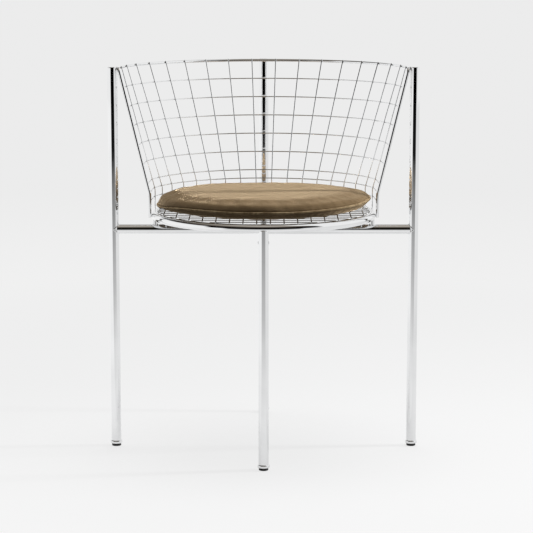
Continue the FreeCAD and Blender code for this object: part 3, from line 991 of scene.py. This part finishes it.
class CHAIR_OT_piping(bpy.types.Operator):
    """Lay the covered cord along the cushion's seam"""

    bl_idname = "chair.add_piping"
    bl_label = "Piping"

    def execute(self, context):
        cloth = BVHTree.FromObject(bpy.data.objects["velvet_cushion"],
                                   context.evaluated_depsgraph_get())
        count = 240
        headings = circle_points(Vector(), 1.0, count)
        levels = [CUSHION_MIDDLE + UP * (SEAM_HEIGHT + seam_rise(math.tau * number / count))
                  for number in range(count)]
        reaches = []
        for level, outwards in zip(levels, headings):
            hit = cloth.ray_cast(level + outwards * 0.3, -outwards)[0]
            reaches.append((hit.xy - level.xy).length)
        places = []
        for number, (level, outwards) in enumerate(zip(levels, headings)):
            reach = sum(reaches[(number + step) % count] for step in range(-3, 4)) / 7
            places.append(level + outwards * (reach + 0.0004))
        mesh = bmesh.new()
        sweep_closed(mesh, places, sizes().piping_radius, sides=14)
        # The piping's lighter colour is a painted highlight, patched with the plain velvet colour
        material = velvet_material("piping velvet", colours().piping_painted_highlight, colours().velvet, 60.0)
        finish_piece("cushion_seam_piping", mesh, material, "cushion",
                     ["cushion_piping"], sharp=180)
        return {"FINISHED"}


# The studio
FLOOR_RADIUS = 9.0
# Metres behind a line 1 m in front of the chair, and how far the floor has faded into the backdrop
FLOOR_FADE = ((0.0, 0.0), (0.55, 0.0), (0.95, 0.25), (1.5, 0.55), (3.5, 0.8), (5.0, 1.0))
# Metres from the chair towards the camera, and how bright the chrome shows the floor there
FLOOR_IN_CHROME = ((0.0, 0.95), (0.6, 0.9), (1.1, 0.8), (1.8, 0.58), (2.7, 0.44), (3.6, 0.31),
                   (4.8, 0.14), (5.6, 0.01), (9.0, 0.0))
# Height in radians and colour of the ceiling that the chrome shows
CEILING = ((0.0, (0.0, 0.0, 0.0)), (0.5, (0.004, 0.004, 0.003)), (0.8, (0.09, 0.078, 0.065)),
           (1.15, (0.33, 0.30, 0.26)), (math.pi / 2, (0.60, 0.56, 0.51)))
# Panels that the chrome shows: how they are measured, then their two ends and soft edge in
# azimuth and in height, in degrees, and how bright they are
PANELS = (
    ("azimuth", (-62, -38, 3), (-100, 0, 1), 0.95),
    ("azimuth", (38, 62, 3), (-100, 0, 1), 0.8),
    ("azimuth", (60, 150, 3), (-100, 75, 4), 0.95),
    ("azimuth", (-150, -60, 3), (-100, 24, 3), 0.95),
    ("either side", (150, 200, 3), (-90, 42, 4), 0.86),
)
SEAT = Vector((0, -0.03, 0.45))
# Place, side in metres and power in watts of each square softbox
SOFTBOXES = {
    "overhead softbox": (Vector((0.15, 0.35, 2.5)), 1.5, 36),
    "right softbox": (Vector((2.7, 0.12, 1.3)), 0.28, 66),
}
CAMERA_PLACE = (0.0055, -3.947, 0.9775)
CAMERA_DOWN = 9.05
LENS = 137.1


def grey(level):
    return (level, level, level)


def add_azimuth(tree, split):
    """Direction over the floor in radians: 0 towards the camera, positive to the right."""
    return add_math(tree, "ARCTAN2", split["X"], add_math(tree, "MULTIPLY", split["Y"], -1.0))


def add_band(tree, value, low, high, soft):
    """1 between two angles in degrees, with soft ends."""
    low, high, soft = math.radians(low), math.radians(high), math.radians(soft)
    return add_math(tree, "MULTIPLY", add_range(tree, value, low - soft, low + soft),
                    add_range(tree, value, high - soft, high + soft, 1, 0))


def add_ramp(tree, value, stops):
    """Colours along a value that runs from 0 to the last stop."""
    top = stops[-1][0]
    node = add_node(tree, "ShaderNodeValToRGB", {"Fac": add_math(tree, "DIVIDE", value, top)})
    elements = node.color_ramp.elements
    for place, tint in stops[1:-1]:
        elements.new(place / top).color = (*tint, 1)
    elements[0].color = (*stops[0][1], 1)
    elements[-1].color = (*stops[-1][1], 1)
    return node.outputs["Color"]


def floor_material():
    """A pale floor that keeps the shadow and fades into the backdrop. In the chrome it is pale
    beside and behind the chair and darkens towards the camera."""
    material, tree, shader = new_material("studio floor")
    tree.nodes.remove(shader)
    place = object_place(tree)
    away = add_node(tree, "ShaderNodeVectorMath", {0: place}, operation="LENGTH").outputs["Value"]
    split = add_node(tree, "ShaderNodeSeparateXYZ", {"Vector": place}).outputs
    near, far = tuple(colours().floor_glow), tuple(colours().backdrop)
    fade = [(metres, tuple(a + (b - a) * share for a, b in zip(near, far)))
            for metres, share in FLOOR_FADE]
    seen = add_ramp(tree, add_math(tree, "ADD", split["Y"], 1.0), fade)
    glow = add_node(tree, "ShaderNodeEmission", {"Color": seen}).outputs["Emission"]
    plain = tuple(colours().floor)
    mottled = add_colour_mix(tree, add_noise(tree, place, 3.0, 2.0), plain, scaled(plain, 0.985))
    matt = add_node(tree, "ShaderNodeBsdfDiffuse", {"Color": mottled}).outputs["BSDF"]
    seen_look = mix_shaders(tree, add_range(tree, away, 0.6, 2.0, 0.8, 1.0), matt, glow)
    azimuth = add_azimuth(tree, split)
    ahead = add_ramp(tree, away, [(metres, grey(level)) for metres, level in FLOOR_IN_CHROME])
    beside = add_colour_mix(tree, add_range(tree, azimuth, -0.3, 0.3), grey(0.98), grey(0.82))
    shown = add_colour_mix(tree, add_band(tree, azimuth, -38, 38, 3), beside, ahead)
    shine = add_node(tree, "ShaderNodeEmission", {"Color": shown}).outputs["Emission"]
    mirror_look = mix_shaders(tree, add_range(tree, away, 0, 1.3, 0.55, 1.0), matt, shine)
    bounce = add_node(tree, "ShaderNodeBsdfDiffuse", {"Color": grey(0.25)}).outputs["BSDF"]
    set_inputs(tree, tree.nodes["Material Output"], {
        "Surface": look_by_ray(tree, bounce, mirror_look, seen_look)})
    return material


def studio_world():
    """Soft light, a plain backdrop for the camera, and a dark room with pale panels that the
    chrome shows."""
    world = bpy.data.worlds.new("studio")
    bpy.context.scene.world = world
    world.use_nodes = True
    tree = world.node_tree
    tree.nodes.clear()
    direction = add_node(tree, "ShaderNodeTexCoord").outputs["Generated"]
    split = add_node(tree, "ShaderNodeSeparateXYZ", {"Vector": direction}).outputs
    azimuth = add_azimuth(tree, split)
    measures = {"azimuth": azimuth, "either side": add_math(tree, "ABSOLUTE", azimuth)}
    height = add_math(tree, "ARCSINE", split["Z"])
    room = add_ramp(tree, height, CEILING)
    for measure, across, upright, level in PANELS:
        mask = add_math(tree, "MULTIPLY", add_band(tree, measures[measure], *across),
                        add_band(tree, height, *upright))
        room = add_colour_mix(tree, mask, room, grey(level))
    overhead = add_range(tree, split["Z"], -0.3, 0.8, 0.22, 1.05)
    behind = add_range(tree, split["Y"], -0.35, 0.65, 0.05, 1.0)
    light, mirror, seen = (
        add_node(tree, "ShaderNodeBackground", inputs).outputs["Background"]
        for inputs in (
            {"Color": (0.985, 0.99, 1.0),
             "Strength": add_math(tree, "MULTIPLY", overhead, behind)},
            {"Color": room},
            {"Color": tuple(colours().backdrop)},
        ))
    add_node(tree, "ShaderNodeOutputWorld", {"Surface": look_by_ray(tree, light, mirror, seen)})


def softbox(name, place, side, power):
    lamp = bpy.data.lights.new(name, "AREA")
    lamp.size = side
    lamp.energy = power
    item = bpy.data.objects.new(name, lamp)
    item.location = place
    item.rotation_euler = (SEAT - place).to_track_quat("-Z", "Y").to_euler()
    item.visible_glossy = False
    bpy.context.scene.collection.objects.link(item)


class CHAIR_OT_stage(bpy.types.Operator):
    """Make the floor, the lights, the world and the camera"""

    bl_idname = "chair.add_stage"
    bl_label = "Stage"

    def execute(self, context):
        mesh = bmesh.new()
        bmesh.ops.create_circle(mesh, cap_ends=True, segments=96, radius=FLOOR_RADIUS)
        data = bpy.data.meshes.new("studio_floor")
        mesh.to_mesh(data)
        mesh.free()
        data.materials.append(floor_material())
        floor = bpy.data.objects.new("studio_floor", data)
        context.scene.collection.objects.link(floor)
        studio_world()
        for name, (place, side, power) in SOFTBOXES.items():
            softbox(name, place, side, power)
        data = bpy.data.cameras.new("photo camera")
        data.lens = LENS
        data.clip_end = 60.0
        camera = bpy.data.objects.new("photo camera", data)
        camera.location = CAMERA_PLACE
        camera.rotation_euler = (math.radians(90 - CAMERA_DOWN), 0, 0)
        context.scene.collection.objects.link(camera)
        context.scene.camera = camera
        context.scene.view_settings.view_transform = "Standard"
        return {"FINISHED"}


OPERATORS = (
    CHAIR_OT_legs,
    CHAIR_OT_feet,
    CHAIR_OT_bars,
    CHAIR_OT_seat_ring,
    CHAIR_OT_border_rod,
    CHAIR_OT_uprights,
    CHAIR_OT_hoops,
    CHAIR_OT_floor_mesh,
    CHAIR_OT_weld_beads,
    CHAIR_OT_spot_welds,
    CHAIR_OT_cushion,
    CHAIR_OT_piping,
    CHAIR_OT_stage,
)


class CHAIR_PT_panel(bpy.types.Panel):
    """Sizes, colours and pieces of the chair"""

    bl_idname = "CHAIR_PT_panel"
    bl_label = "Wire mesh chair"
    bl_space_type = "VIEW_3D"
    bl_region_type = "UI"
    bl_category = "Chair"

    def draw(self, context):
        layout = self.layout
        for settings in (context.scene.chair_sizes, context.scene.chair_colours):
            column = layout.column(align=True)
            for name in settings.__annotations__:
                column.prop(settings, name)
        column = layout.column(align=True)
        for operator in OPERATORS:
            column.operator(operator.bl_idname)


CLASSES = (ChairSizes, ChairColours, *OPERATORS, CHAIR_PT_panel)


def register():
    for item in CLASSES:
        bpy.utils.register_class(item)
    bpy.types.Scene.chair_sizes = PointerProperty(type=ChairSizes)
    bpy.types.Scene.chair_colours = PointerProperty(type=ChairColours)


def unregister():
    del bpy.types.Scene.chair_colours
    del bpy.types.Scene.chair_sizes
    for item in reversed(CLASSES):
        bpy.utils.unregister_class(item)


def main():
    register()
    for operator in OPERATORS:
        group, name = operator.bl_idname.split(".")
        getattr(getattr(bpy.ops, group), name)()


if __name__ == "__main__":
    main()
